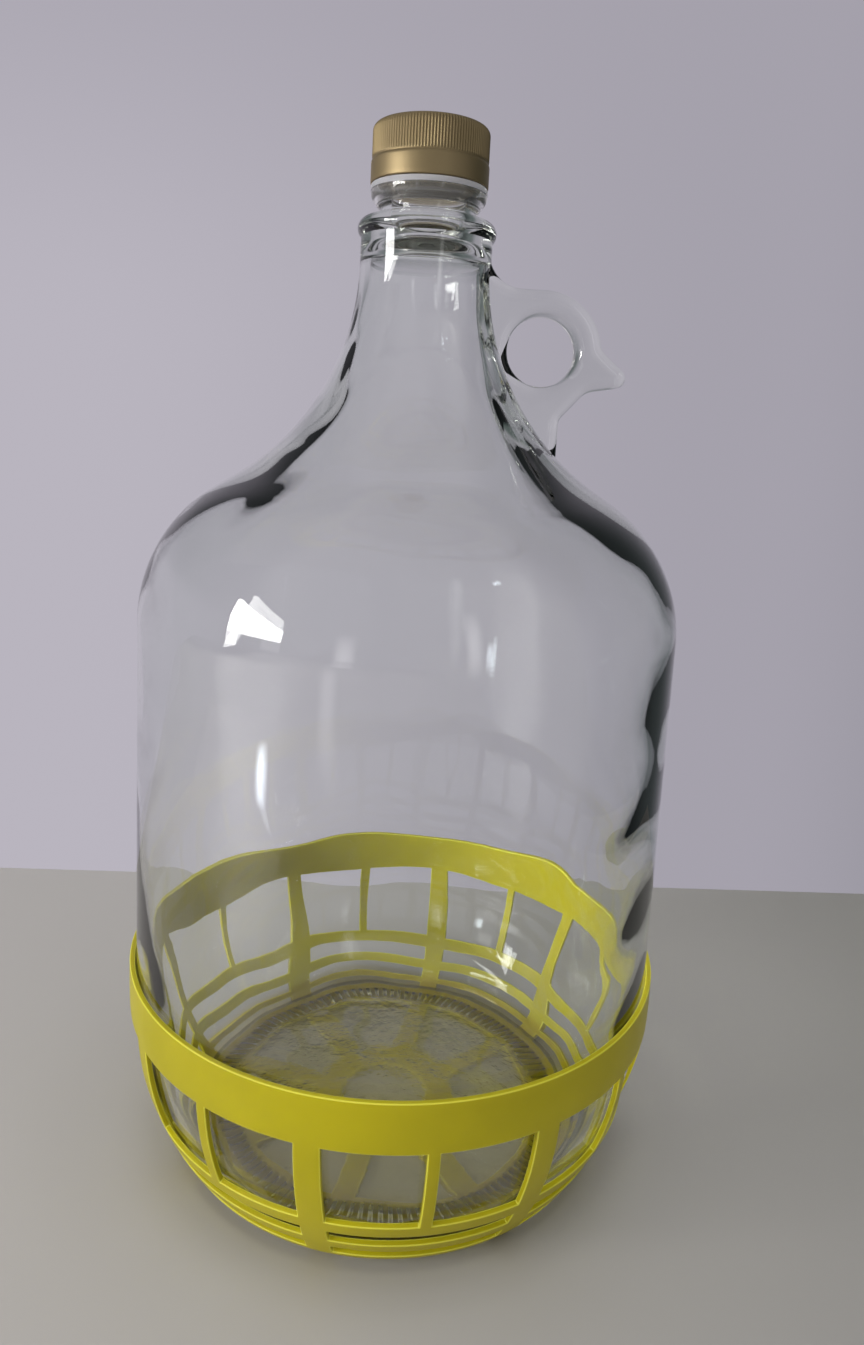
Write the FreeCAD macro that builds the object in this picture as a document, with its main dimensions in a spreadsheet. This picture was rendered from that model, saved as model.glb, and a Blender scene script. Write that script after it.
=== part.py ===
"""Glass demijohn with a finger loop, a screw cap and a plastic basket. Millimetres.

The bottle's axis is Z, the table is Z = 0, the finger loop points to +X and the front is -Y.
"""
import FreeCAD
import Part
import Sketcher
import math
import os

# Driving sizes

SIZES = {
    # glass body
    "glass_radius": 90.0,
    "glass_wall": 3.4,
    "neck_radius": 21.4,
    "body_side": 125.0,
    "shoulder_share": 0.758,
    "neck_curve_share": 1.212,
    "shoulder_angle": 58.0,
    # heel and base of the glass
    "heel_start": 60.0,
    "heel_radius": 98.0,
    "corner_radius": 9.0,
    "bearing_width": 10.4,
    "pushup_height": 6.0,
    "base_thickness": 5.5,
    "inside_corner_radius": 16.0,
    # bead and finish of the glass
    "bead_rise": 10.3,
    "bead_stand": 1.1,
    "bead_tube_radius": 3.6,
    "finish_step": 5.8,
    "finish_blend": 1.6,
    "finish_wall": 3.6,
    "throat_drop": 12.0,
    "lock_rise": 6.3,
    "lock_thickness": 2.0,
    "lock_stand": 1.0,
    "lip_round": 1.2,
    # finger loop
    "loop_offset": 17.9,
    "loop_drop": 25.4,
    "loop_hole_radius": 11.4,
    "loop_ring_width": 8.2,
    "loop_thickness": 12.0,
    "loop_edge_round": 2.8,
    "loop_hole_round": 1.8,
    "loop_top_blend": 11.0,
    "foot_offset": 7.1,
    "foot_drop": 21.8,
    "foot_angle": 48.0,
    "foot_length": 12.6,
    "foot_round": 4.0,
    "spur_under_angle": 10.0,
    "spur_top_angle": 140.0,
    "spur_length": 17.3,
    "spur_tip_radius": 3.4,
    "spur_throat_radius": 5.0,
    # basket
    "basket_clearance": 0.4,
    "basket_wall": 1.8,
    "band_above_heel": 8.8,
    "band_below_heel": 7.3,
    "ring1_top": 23.8,
    "ring1_bottom": 19.0,
    "ring2_top": 13.8,
    "ring2_bottom": 9.9,
    "ring3_top": 5.8,
    "ring3_bottom": 3.1,
    "foot_width": 12.4,
    "hub_outer_radius": 26.0,
    "hub_inner_radius": 15.0,
    "post_count": 8,
    "post_width": 8.2,
    "narrow_post_width": 3.8,
    "post_turn": -103.5,
    # collar
    "collar_clearance": 0.15,
    "collar_hook": 1.45,
    "collar_height": 6.4,
    "collar_gap": 0.2,
    "collar_set_in": 0.2,
    "collar_skirt_height": 1.9,
    "collar_skirt_wall": 0.9,
    "collar_sleeve_wall": 1.55,
    "collar_top_drop": 0.8,
    # cap
    "cap_thread_gap": 0.6,
    "cap_height": 18.2,
    "cap_wall": 1.1,
    "cap_band_height": 7.3,
    "cap_top_round": 2.2,
    "rib_set_in": 0.25,
    "rib_depth": 0.32,
    "rib_count": 120,
    "step_groove": 0.25,
    # sealing disc
    "liner_thickness": 1.15,
    "liner_gap": 0.15,
    "seat_gap": 0.2,
}

doc = FreeCAD.newDocument("demijohn")
sheet = doc.addObject("Spreadsheet::Sheet", "Sizes")
for row, (name, number) in enumerate(SIZES.items(), start=1):
    sheet.set("A%d" % row, name)
    sheet.set("B%d" % row, str(number))
    sheet.setAlias("B%d" % row, name)
doc.recompute()


class Size:
    """A number, and the expression that works it out from the sheet."""

    def __init__(self, value, text):
        self.value = value
        self.text = text

    @staticmethod
    def of(other):
        return other if isinstance(other, Size) else Size(float(other), repr(float(other)))

    def __add__(self, other):
        other = Size.of(other)
        return Size(self.value + other.value, "(%s + %s)" % (self.text, other.text))

    def __sub__(self, other):
        other = Size.of(other)
        return Size(self.value - other.value, "(%s - %s)" % (self.text, other.text))

    def __mul__(self, other):
        other = Size.of(other)
        return Size(self.value * other.value, "(%s * %s)" % (self.text, other.text))

    def __truediv__(self, other):
        other = Size.of(other)
        return Size(self.value / other.value, "(%s / %s)" % (self.text, other.text))

    def __neg__(self):
        return Size(-self.value, "(0 - (%s))" % self.text)


def size(name):
    return Size(float(sheet.get(name)), "Sizes.%s" % name)


def root(number):
    return Size(math.sqrt(number.value), "sqrt(%s)" % number.text)


def leg(long_side, short_side):
    """The other short side of a right triangle."""
    return root(long_side * long_side - short_side * short_side)


def cosine(angle):
    return Size(math.cos(math.radians(angle.value)), "cos(%s * 1 deg)" % angle.text)


def sine(angle):
    return Size(math.sin(math.radians(angle.value)), "sin(%s * 1 deg)" % angle.text)


ZERO = Size.of(0.0)

# Sketches

def add_body(name):
    body = doc.addObject("PartDesign::Body", name)
    body.Label = name
    return body


def add_sketch(body, name, plane="XZ_Plane"):
    sketch = body.newObject("Sketcher::SketchObject", name)
    origin_plane = [item for item in body.Origin.OriginFeatures if item.Role == plane][0]
    sketch.AttachmentSupport = (origin_plane, [""])
    sketch.MapMode = "FlatFace"
    return sketch


def bind(sketch, constraint, expression):
    index = sketch.addConstraint(constraint)
    sketch.setExpression("Constraints[%d]" % index, expression.text)


def hold(sketch, edge, end, across, up):
    """Hold one corner of a sketch by its distances from the two axes, or on an axis where the distance is nought."""
    for kind, axis, distance in (("DistanceX", -2, across), ("DistanceY", -1, up)):
        if distance.value == 0.0:
            sketch.addConstraint(Sketcher.Constraint("PointOnObject", edge, end, axis))
        else:
            bind(sketch, Sketcher.Constraint(kind, -1, 1, edge, end, distance.value), distance)


def arc_between(first, second, radius, turn):
    """The short arc from one point to another: turn is left where its centre lies left of the way."""
    chord = second - first
    sideways = FreeCAD.Vector(-chord.y, chord.x, 0).normalize()
    reach = math.sqrt(max(radius ** 2 - (chord.Length / 2) ** 2, 0.0))
    centre = (first + second) / 2 + sideways * (reach if turn == "left" else -reach)
    start, stop = (first, second) if turn == "left" else (second, first)
    angles = [math.atan2(point.y - centre.y, point.x - centre.x) for point in (start, stop)]
    return Part.ArcOfCircle(Part.Circle(centre, FreeCAD.Vector(0, 0, 1), radius), *angles)


def draw_loop(sketch, steps):
    """A closed outline. A step is a corner (across, up), with a radius and a turn where an arc leads to it."""
    edges = []
    for before, step in zip(steps[-1:] + steps[:-1], steps):
        first = FreeCAD.Vector(before[0].value, before[1].value, 0)
        second = FreeCAD.Vector(step[0].value, step[1].value, 0)
        if len(step) == 2:
            edge = sketch.addGeometry(Part.LineSegment(first, second), False)
            edges.append((edge, 1, 2))
            continue
        radius, turn = step[2:]
        edge = sketch.addGeometry(arc_between(first, second, radius.value, turn), False)
        edges.append((edge, 1, 2) if turn == "left" else (edge, 2, 1))
        bind(sketch, Sketcher.Constraint("Radius", edge, radius.value), radius)
    for this, following in zip(edges, edges[1:] + edges[:1]):
        sketch.addConstraint(Sketcher.Constraint("Coincident", this[0], this[2], following[0], following[1]))
    for (edge, start, stop), step in zip(edges, steps):
        hold(sketch, edge, stop, step[0], step[1])


def revolve(body, kind, name, sketch):
    """A full turn of a sketch about the bottle's axis: kind is Revolution or Groove."""
    feature = body.newObject("PartDesign::%s" % kind, name)
    feature.Profile = sketch
    feature.ReferenceAxis = (sketch, ["V_Axis"])
    feature.Angle = 360
    sketch.Visibility = False
    return feature


# Shape of the glass wall, shared by its outer skin, its inner skin and the basket

basket_floor = size("basket_clearance") + size("basket_wall")
glass_bottom = basket_floor
heel_centre = size("glass_radius") - size("heel_radius")
corner_height = glass_bottom + size("corner_radius")
corner_centre = heel_centre + leg(size("heel_radius") - size("corner_radius"), size("heel_start") - corner_height)


def heel_line(stand, corner_up, corner_across, corner_radius):
    """Heel arc and corner arc, a distance outside the glass skin: the point between the two arcs."""
    heel_radius = size("heel_radius") + stand
    share = heel_radius / (heel_radius - corner_radius)
    across = heel_centre + (corner_across - heel_centre) * share
    up = size("heel_start") - (size("heel_start") - corner_up) * share
    return heel_radius, across, up


# The shoulder's arc, a short cone and the neck's arc take up the step from the body to the neck

shoulder_start = size("heel_start") + size("body_side")
body_step = size("glass_radius") - size("neck_radius")
shoulder_radius = body_step * size("shoulder_share")
neck_curve_radius = body_step * size("neck_curve_share")
shoulder_fall = Size.of(1.0) - cosine(size("shoulder_angle"))
cone_length = (body_step - (shoulder_radius + neck_curve_radius) * shoulder_fall) / sine(size("shoulder_angle"))


def shoulder_line(depth):
    """Corners from the top of the heel to the neck, a depth inside the outer skin of the glass."""
    angle = size("shoulder_angle")
    round_radius = shoulder_radius - depth
    curve_radius = neck_curve_radius + depth
    round_centre = size("glass_radius") - shoulder_radius
    bend_across = round_centre + round_radius * cosine(angle)
    bend_up = shoulder_start + round_radius * sine(angle)
    waist_across = bend_across - cone_length * sine(angle)
    waist_up = bend_up + cone_length * cosine(angle)
    curve_across = waist_across + curve_radius * cosine(angle)
    curve_up = waist_up + curve_radius * sine(angle)
    return [
        (size("glass_radius") - depth, size("heel_start")),
        (size("glass_radius") - depth, shoulder_start),
        (bend_across, bend_up, round_radius, "left"),
        (waist_across, waist_up),
        (curve_across - curve_radius, curve_up, curve_radius, "right"),
    ]


neck_height = shoulder_line(ZERO)[-1][1]

# Heights and radii of the closure, from the glass outwards and from the bead upwards

bead_height = neck_height + size("bead_rise")
bead_top = bead_height + size("bead_tube_radius")
finish_radius = size("neck_radius") - size("finish_step")
bore_radius = finish_radius - size("finish_wall")
lock_height = bead_top + size("lock_rise")
collar_bore = finish_radius + size("collar_clearance")
collar_sleeve = collar_bore + size("collar_sleeve_wall")
collar_bottom = lock_height - size("lock_stand") - size("collar_clearance") - size("collar_hook")
collar_flange = collar_bottom + size("collar_height")
cap_inside = collar_sleeve + size("cap_thread_gap")
cap_radius = cap_inside + size("cap_wall")
cap_bottom = collar_flange + size("collar_gap")
cap_top = cap_bottom + size("cap_height")
liner_top = cap_top - size("cap_wall") - size("seat_gap")
lip_height = liner_top - size("liner_thickness") - size("liner_gap")
hole_across = size("neck_radius") + size("loop_offset")
hole_up = neck_height - size("loop_drop")


def dome_radius(half_width, rise):
    return (half_width * half_width + rise * rise) / (rise * 2)


# Bottle: one piece of glass

def edges_on_flat_faces(shape, thickness, inside):
    """Names of the edges in the two flat faces of a plate, outside the neck, and inside or around its hole."""
    centre = FreeCAD.Vector(hole_across.value, 0, hole_up.value)
    hole = size("loop_hole_radius").value
    found = []
    for number, edge in enumerate(shape.Edges, start=1):
        box = edge.BoundBox
        if box.YLength > 0.001 or abs(abs(box.YMin) - thickness / 2) > 0.001:
            continue
        middle = edge.valueAt((edge.FirstParameter + edge.LastParameter) / 2)
        away = math.hypot(middle.x - centre.x, middle.z - centre.z)
        around_hole = away < hole + 0.01
        if around_hole == inside and box.XMin > size("glass_wall").value * 2:
            found.append("Edge%d" % number)
    return found


def along(point, angle, distance):
    """The point a distance away in a direction."""
    return point[0] + distance * cosine(angle), point[1] + distance * sine(angle)


def corner(point, angle_in, angle_out, radius):
    """A rounded corner where the outline turns: the point where its arc starts, and the arc."""
    bend = (angle_out - angle_in) / 2
    turn = "left" if bend.value > 0 else "right"
    if turn == "right":
        bend = -bend
    reach = radius * sine(bend) / cosine(bend)
    return [along(point, angle_in, -reach), along(point, angle_out, reach) + (radius, turn)]


def make_loop(body):
    """Flat ring of glass with a spur, drawn around its finger hole and blended into the neck above."""
    sketch = add_sketch(body, "loop_outline")
    hole = (hole_across, hole_up)
    outer = size("loop_hole_radius") + size("loop_ring_width")
    top = hole[1] + outer
    blend = size("loop_top_blend")
    root_x = size("glass_wall")
    root_top = size("neck_radius") - size("glass_wall") * 0.25
    foot = (hole[0] + size("foot_offset"), hole[1] - size("foot_drop"))
    foot_bottom = shoulder_line(ZERO)[2][1]
    rise = size("foot_angle")
    under = size("spur_under_angle")
    over = size("spur_top_angle")
    heel = along(foot, rise, size("foot_length"))
    tip = along(heel, under, size("spur_length"))
    throat = size("spur_throat_radius")
    # the arc in the throat touches the spur's top line and the loop's outer circle
    side = along(tip, over - 90.0, throat)
    across = (side[0] - hole[0]) * cosine(over) + (side[1] - hole[1]) * sine(over)
    square = (side[0] - hole[0]) * cosine(over - 90.0) + (side[1] - hole[1]) * sine(over - 90.0)
    reach = -across - leg(outer + throat, square)
    centre = along(side, over, reach)
    share = outer / (outer + throat)
    meet = (hole[0] + (centre[0] - hole[0]) * share, hole[1] + (centre[1] - hole[1]) * share)
    draw_loop(sketch, [
        (root_x, foot_bottom),
        (foot[0], foot_bottom),
        *corner(foot, Size.of(90.0), rise, size("foot_round")),
        *corner(heel, rise, under, size("foot_round") * 1.5),
        *corner(tip, under, over, size("spur_tip_radius")),
        along(tip, over, reach),
        meet + (throat, "right"),
        (hole[0], top, outer, "left"),
        (root_top + blend, top),
        (root_top, top + blend, blend, "right"),
        (root_x, top + blend),
    ])
    ring = Part.Circle(FreeCAD.Vector(hole[0].value, hole[1].value, 0), FreeCAD.Vector(0, 0, 1), size("loop_hole_radius").value)
    edge = sketch.addGeometry(ring, False)
    bind(sketch, Sketcher.Constraint("Radius", edge, size("loop_hole_radius").value), size("loop_hole_radius"))
    hold(sketch, edge, 3, hole[0], hole[1])
    pad = body.newObject("PartDesign::Pad", "loop_plate")
    pad.Profile = sketch
    pad.Midplane = True
    pad.setExpression("Length", "Sizes.loop_thickness")
    sketch.Visibility = False
    doc.recompute()
    base = pad
    for name, alias, inside in (("loop_edges", "loop_edge_round", False), ("loop_hole_edges", "loop_hole_round", True)):
        fillet = body.newObject("PartDesign::Fillet", name)
        fillet.Base = (base, edges_on_flat_faces(base.Shape, size("loop_thickness").value, inside))
        fillet.setExpression("Radius", "Sizes.%s" % alias)
        doc.recompute()
        base = fillet


def outer_skin():
    """Half section of the solid glass, without its cavity, from the middle of the push-up to the lip."""
    heel_radius, heel_across, heel_up = heel_line(ZERO, corner_height, corner_centre, size("corner_radius"))
    bearing = corner_centre - size("bearing_width")
    rise = size("pushup_height")
    tube = size("bead_tube_radius")
    bead_centre = size("neck_radius") + size("bead_stand") - tube
    finish = finish_radius
    blend = size("finish_blend")
    lock_up = lock_height
    lock = size("lock_stand")
    lock_top = lock_up + size("lock_thickness")
    lip = size("lip_round")
    return [
        (ZERO, lip_height),
        (ZERO, glass_bottom + rise),
        (bearing, glass_bottom, dome_radius(bearing, rise), "right"),
        (corner_centre, glass_bottom),
        (heel_across, heel_up, size("corner_radius"), "left"),
        (size("glass_radius"), size("heel_start"), heel_radius, "left"),
    ] + shoulder_line(ZERO)[1:] + [
        (size("neck_radius"), bead_height - leg(tube, tube - size("bead_stand"))),
        (bead_centre, bead_top, tube, "left"),
        (finish + blend, bead_top),
        (finish, bead_top + blend, blend, "right"),
        (finish, lock_up - lock),
        (finish + lock, lock_up),
        (finish + lock, lock_top),
        (finish, lock_top + lock),
        (finish, lip_height - lip),
        (finish - lip, lip_height, lip, "left"),
    ]


def inner_skin():
    """Half section of the cavity, from the inside of the base to above the lip."""
    wall = size("glass_wall")
    floor_up = glass_bottom + size("base_thickness")
    round_radius = size("inside_corner_radius")
    round_up = floor_up + round_radius
    reach = size("heel_radius") - wall - round_radius
    round_across = heel_centre + leg(reach, size("heel_start") - round_up)
    heel_radius, heel_across, heel_up = heel_line(-wall, round_up, round_across, round_radius)
    rise = size("pushup_height")
    bore = bore_radius
    skin = shoulder_line(wall)
    inner_neck = skin[-1][0]
    throat_up = bead_height - size("throat_drop")
    step = inner_neck - bore
    above = cap_top
    return [
        (ZERO, above),
        (ZERO, floor_up + rise),
        (round_across, floor_up, dome_radius(round_across, rise), "right"),
        (heel_across, heel_up, round_radius, "left"),
        (size("glass_radius") - wall, size("heel_start"), heel_radius, "left"),
    ] + skin[1:] + [
        (inner_neck, throat_up + step * 0.5),
        (bore, throat_up + step * 1.5, step * 1.25, "left"),
        (bore, above),
    ]


def make_bottle():
    body = add_body("bottle")
    make_loop(body)
    skin = add_sketch(body, "outer_skin")
    draw_loop(skin, outer_skin())
    revolve(body, "Revolution", "glass_solid", skin)
    doc.recompute()
    cavity = add_sketch(body, "inner_skin")
    draw_loop(cavity, inner_skin())
    revolve(body, "Groove", "glass_cavity", cavity)
    doc.recompute()
    return body


# Basket: one plastic moulding

basket_height = size("heel_start") + size("band_above_heel")
band_bottom = size("heel_start") - size("band_below_heel")
foot_inner = corner_centre - size("foot_width")

def wall_section():
    """Half section of the basket before its openings: band, heel, corner and floor."""
    gap = size("basket_clearance")
    wall = size("basket_wall")
    skin = gap + wall
    inside = size("corner_radius") + gap
    outside = size("corner_radius") + skin
    inner_heel, inner_across, inner_up = heel_line(gap, corner_height, corner_centre, inside)
    outer_heel, outer_across, outer_up = heel_line(skin, corner_height, corner_centre, outside)
    return [
        (size("hub_inner_radius"), basket_floor),
        (size("hub_inner_radius"), ZERO),
        (corner_centre, ZERO),
        (outer_across, outer_up, outside, "left"),
        (size("glass_radius") + skin, size("heel_start"), outer_heel, "left"),
        (size("glass_radius") + skin, basket_height - wall / 2),
        (size("glass_radius") + gap + wall / 2, basket_height, wall / 2, "left"),
        (size("glass_radius") + gap, basket_height - wall / 2, wall / 2, "left"),
        (size("glass_radius") + gap, size("heel_start")),
        (inner_across, inner_up, inner_heel, "right"),
        (corner_centre + leg(inside, size("corner_radius")), basket_floor, inside, "right"),
    ]


def ring_zone(name, inner, outer, bottom, top):
    """A flat ring, which is the height of one row of openings."""
    shapes = []
    for label, radius in (("outer", outer), ("inner", inner)):
        disc = doc.addObject("Part::Cylinder", "%s_%s" % (name, label))
        disc.setExpression("Radius", radius.text)
        disc.setExpression("Height", (top - bottom).text)
        disc.setExpression("Placement.Base.z", bottom.text)
        shapes.append(disc)
    zone = doc.addObject("Part::Cut", name)
    zone.Base, zone.Tool = shapes
    return zone


def post_set(name, width, half_turn):
    """Radial bars, one for each post, which stay solid where the openings are cut."""
    bars = []
    for number in range(int(size("post_count").value)):
        bar = doc.addObject("Part::Box", "%s_%d" % (name, number + 1))
        bar.setExpression("Width", width.text)
        bar.setExpression("Length", (size("glass_radius") * 1.2).text)
        bar.setExpression("Height", (basket_height * 1.5).text)
        turn = size("post_turn") + Size.of(360.0) / size("post_count") * (number + half_turn)
        bar.setExpression("Placement.Rotation.Angle", turn.text)
        bar.setExpression("Placement.Base.x", (width / 2 * sine(turn)).text)
        bar.setExpression("Placement.Base.y", (-(width / 2) * cosine(turn)).text)
        bar.setExpression("Placement.Base.z", (-(basket_height / 4)).text)
        bars.append(bar)
    fused = doc.addObject("Part::MultiFuse", name)
    fused.Shapes = bars
    return fused


def join(name, shapes):
    fused = doc.addObject("Part::MultiFuse", name)
    fused.Shapes = shapes
    return fused


def subtract(name, base, tool):
    cut = doc.addObject("Part::Cut", name)
    cut.Base = base
    cut.Tool = tool
    return cut


def make_basket():
    wall = add_body("basket_wall_turned")
    section = add_sketch(wall, "basket_section")
    draw_loop(section, wall_section())
    revolve(wall, "Revolution", "basket_shell", section)
    wide = post_set("wide_post", size("post_width"), 0.0)
    narrow = post_set("narrow_post", size("narrow_post_width"), 0.5)
    beyond = size("glass_radius") * 1.1
    within = size("hub_outer_radius") * 1.2
    below = -basket_floor
    windows = ring_zone("window_zone", within, beyond, size("ring1_top"), band_bottom)
    slots = join("slot_zones", [
        ring_zone("slot1", within, beyond, size("ring2_top"), size("ring1_bottom")),
        ring_zone("slot2", within, beyond, size("ring3_top"), size("ring2_bottom")),
        ring_zone("slot3", corner_centre, beyond, below, size("ring3_bottom")),
        ring_zone("floor_zone", size("hub_outer_radius"), foot_inner, below, basket_floor * 2),
    ])
    window_cut = subtract("windows", windows, join("all_posts", [wide, narrow]))
    slot_cut = subtract("slots", slots, wide)
    opened = subtract("basket_windows", wall, window_cut)
    basket = subtract("basket", opened, slot_cut)
    basket.Refine = True
    basket.Label = "basket"
    return basket


# Cap: one shell, ribbed above its step

def cap_section():
    bottom = cap_bottom
    top = cap_top
    wall = size("cap_wall")
    inside = cap_inside
    rib = cap_radius - size("rib_set_in")
    band = cap_radius
    top_round = size("cap_top_round")
    step = cap_bottom + size("cap_band_height")
    groove = size("step_groove")
    return [
        (ZERO, top - wall),
        (inside - wall, top - wall),
        (inside, top - wall * 2, wall, "right"),
        (inside, bottom),
        (band, bottom),
        (band, step - groove * 2),
        (band - groove, step - groove),
        (rib - size("rib_depth") - groove, step - groove),
        (rib - size("rib_depth") - groove, step + groove),
        (rib, step + groove),
        (rib, top - top_round),
        (rib - top_round, top, top_round, "left"),
        (ZERO, top),
    ]


def rib_cutter():
    """Ring with a zigzag inner wall: it leaves the fine upright ribs standing on the cap."""
    count = int(size("rib_count").value)
    crest = (cap_radius - size("rib_set_in")).value
    valley = crest - size("rib_depth").value
    bottom = (cap_bottom + size("cap_band_height")).value
    height = cap_top.value - bottom
    corners = []
    for number in range(count):
        for share, radius in ((0.0, crest + 0.02), (0.5, valley)):
            turn = 2 * math.pi * (number + share) / count
            corners.append(FreeCAD.Vector(radius * math.cos(turn), radius * math.sin(turn), bottom))
    zigzag = Part.makePolygon(corners + corners[:1])
    upward = FreeCAD.Vector(0, 0, height + 1)
    around = Part.makeCylinder(crest + 2, height + 1, FreeCAD.Vector(0, 0, bottom))
    return around.cut(Part.Face(Part.Wire(zigzag)).extrude(upward))


def make_cap():
    blank = add_body("cap_blank")
    section = add_sketch(blank, "cap_section")
    draw_loop(section, cap_section())
    revolve(blank, "Revolution", "cap_shell", section)
    doc.recompute()
    ribs = doc.addObject("Part::Feature", "rib_cutter")
    ribs.Shape = rib_cutter()
    cap = subtract("cap", blank, ribs)
    cap.Label = "cap"
    return cap


# Collar: clipped under the locking ring of the finish

def make_collar():
    body = add_body("collar")
    gap = size("collar_clearance")
    skirt = size("collar_skirt_wall")
    neck = collar_bore
    room = neck + size("lock_stand")
    lock_under = collar_bottom + size("collar_hook")
    lock_over = lock_height + size("lock_thickness") + size("lock_stand") + gap
    bottom = collar_bottom
    flange = collar_flange
    outside = cap_radius - size("collar_set_in")
    skirt_up = flange - size("collar_skirt_height")
    curve = skirt_up - bottom
    top = lip_height - size("collar_top_drop")
    section = add_sketch(body, "collar_section")
    draw_loop(section, [
        (neck, bottom),
        (neck + skirt, bottom),
        (outside, skirt_up, curve * 1.3, "left"),
        (outside, flange),
        (collar_sleeve, flange),
        (collar_sleeve, top),
        (neck, top),
        (neck, lock_over),
        (room, lock_over - size("lock_stand")),
        (room, lock_under + size("lock_stand")),
        (neck, lock_under),
    ])
    revolve(body, "Revolution", "collar_ring", section)
    return body


# Sealing disc

def make_liner():
    disc = doc.addObject("Part::Cylinder", "liner")
    disc.setExpression("Radius", (cap_inside - size("cap_wall")).text)
    disc.setExpression("Height", "Sizes.liner_thickness")
    disc.setExpression("Placement.Base.z", (lip_height + size("liner_gap")).text)
    disc.Label = "liner"
    return disc


# Build, check and write

pieces = [make_bottle(), make_basket(), make_collar(), make_cap(), make_liner()]
doc.recompute()
for item in doc.Objects:
    if any(state in ("Invalid", "Error") for state in item.State):
        raise RuntimeError("%s failed: %s" % (item.Name, item.State))
os.makedirs("parts", exist_ok=True)
for piece in pieces:
    if piece.Shape.isNull() or not piece.Shape.isValid():
        raise RuntimeError("%s has no valid shape" % piece.Label)
for piece in pieces:
    piece.Shape.exportStep("parts/%s.step" % piece.Label)
    box = piece.Shape.optimalBoundingBox(False)
    print("%-8s solids %d faces %4d volume %9.0f x %.1f..%.1f y %.1f..%.1f z %.1f..%.1f" % (
        piece.Label, len(piece.Shape.Solids), len(piece.Shape.Faces), piece.Shape.Volume,
        box.XMin, box.XMax, box.YMin, box.YMax, box.ZMin, box.ZMax))
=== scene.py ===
# %% [markdown]
# A clear glass demijohn stands in a yellow plastic basket, closed by a gold screw cap. Sizes in
# this file are in millimetres, as on a drawing, and a mesh becomes metres when it is made. The
# camera, the floor and the lamps are in metres.

# %% 1 Load the frame
import bpy
import bmesh
import math
import numpy as np
from mathutils import Matrix, Vector


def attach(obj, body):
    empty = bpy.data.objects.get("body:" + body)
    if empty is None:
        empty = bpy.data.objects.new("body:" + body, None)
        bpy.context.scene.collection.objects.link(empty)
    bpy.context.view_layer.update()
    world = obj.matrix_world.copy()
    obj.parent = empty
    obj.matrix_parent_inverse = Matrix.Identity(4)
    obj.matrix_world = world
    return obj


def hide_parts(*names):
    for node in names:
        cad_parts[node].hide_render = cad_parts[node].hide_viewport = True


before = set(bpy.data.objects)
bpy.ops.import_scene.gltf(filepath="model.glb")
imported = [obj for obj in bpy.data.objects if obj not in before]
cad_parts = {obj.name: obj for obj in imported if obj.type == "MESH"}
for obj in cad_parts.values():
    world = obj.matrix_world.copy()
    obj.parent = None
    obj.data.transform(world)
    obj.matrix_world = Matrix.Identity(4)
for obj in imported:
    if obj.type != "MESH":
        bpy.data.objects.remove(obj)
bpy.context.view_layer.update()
scene = bpy.context.scene
scene.view_settings.view_transform = "Standard"

# %% [markdown]
# The photograph was taken from close by, at the height of the shoulder, looking down by about nine
# degrees with the camera slightly tilted. The near rim of the basket is so much larger than the
# far rim that the lens has to be a wide one, and its length follows from that. A camera matrix
# made of three directions keeps the tilt exact, which a "look at" would not.

# %% 2 Camera
# The first two lines are in pixels of the picture, the turns in radians and the place in metres.
PHOTO_HEIGHT = 1345
FOCAL, CENTRE_ROW = 975.0, 590.0
PITCH, ROLL, YAW = 0.16509, 0.05184, 0.0228
CAMERA_AT = (0.0, -0.33111, 0.25108)

ahead = np.array([math.sin(YAW) * math.cos(PITCH), math.cos(YAW) * math.cos(PITCH), -math.sin(PITCH)])
level = np.array([math.cos(YAW), -math.sin(YAW), 0.0])
above = np.cross(level, ahead)
matrix = np.eye(4)
matrix[:3, 0] = math.cos(ROLL) * level + math.sin(ROLL) * above
matrix[:3, 1] = math.cos(ROLL) * above - math.sin(ROLL) * level
matrix[:3, 2] = -ahead
matrix[:3, 3] = CAMERA_AT

# The sensor's 36 mm lie along the longer side of the picture, which is its height.
lens = bpy.data.cameras.new("camera")
lens.sensor_width = 36.0
lens.lens = lens.sensor_width * FOCAL / PHOTO_HEIGHT
lens.shift_y = (CENTRE_ROW - PHOTO_HEIGHT / 2) / PHOTO_HEIGHT
lens.clip_start = 0.01
camera = bpy.data.objects.new("camera", lens)
camera.matrix_world = Matrix(matrix.tolist())
scene.collection.objects.link(camera)
scene.camera = camera
print("lens %.1f mm on a 36 mm sensor" % lens.lens)

# %% [markdown]
# Most pieces here are turned shapes: an outline of points (r, z) in the half plane, carried round
# the axis. Outlines are made of straight runs and arcs, so two helpers give those as arrays. The
# last number of a run or an arc is the distance of its points.

# %% 3 Outlines
MM = 0.001


def run(start, stop, step):
    """Even points from start to stop, without start: start + (stop - start) * share."""
    count = max(1, int(math.dist(start, stop) / step))
    share = np.linspace(0, 1, count + 1)[1:, None]
    return np.array(start) + (np.array(stop) - np.array(start)) * share


def arc(centre, radius, start, stop, step):
    """Points on an arc, without its first: centre + radius * (cos, sin). The angles are in degrees."""
    count = max(2, int(abs(math.radians(stop - start)) * radius / step) + 1)
    turn = np.radians(np.linspace(start, stop, count + 1)[1:])
    return np.array(centre) + radius * np.stack([np.cos(turn), np.sin(turn)], -1)


def outline(*parts):
    """Points and arrays of points, joined in order."""
    return np.concatenate([np.atleast_2d(np.array(part, float)) for part in parts])


def smoothstep(low, high, value):
    """0 below low, 1 above high, and 3 s^2 - 2 s^3 between them."""
    share = np.clip((value - low) / (high - low), 0.0, 1.0)
    return share * share * (3 - 2 * share)


print("a quarter circle of 10 mm radius has", len(arc((0, 0), 10, 0, 90, 1.0)), "points")

# %% [markdown]
# A turned shape is a grid of points, one row for each point of the outline and one column for each
# angle. It becomes a mesh in one call, with its faces worked out as arrays from the numbers of the
# points, and its normals are turned outwards once all faces are there. Each piece is then told
# which body it rides on and which solid it stands for.

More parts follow.
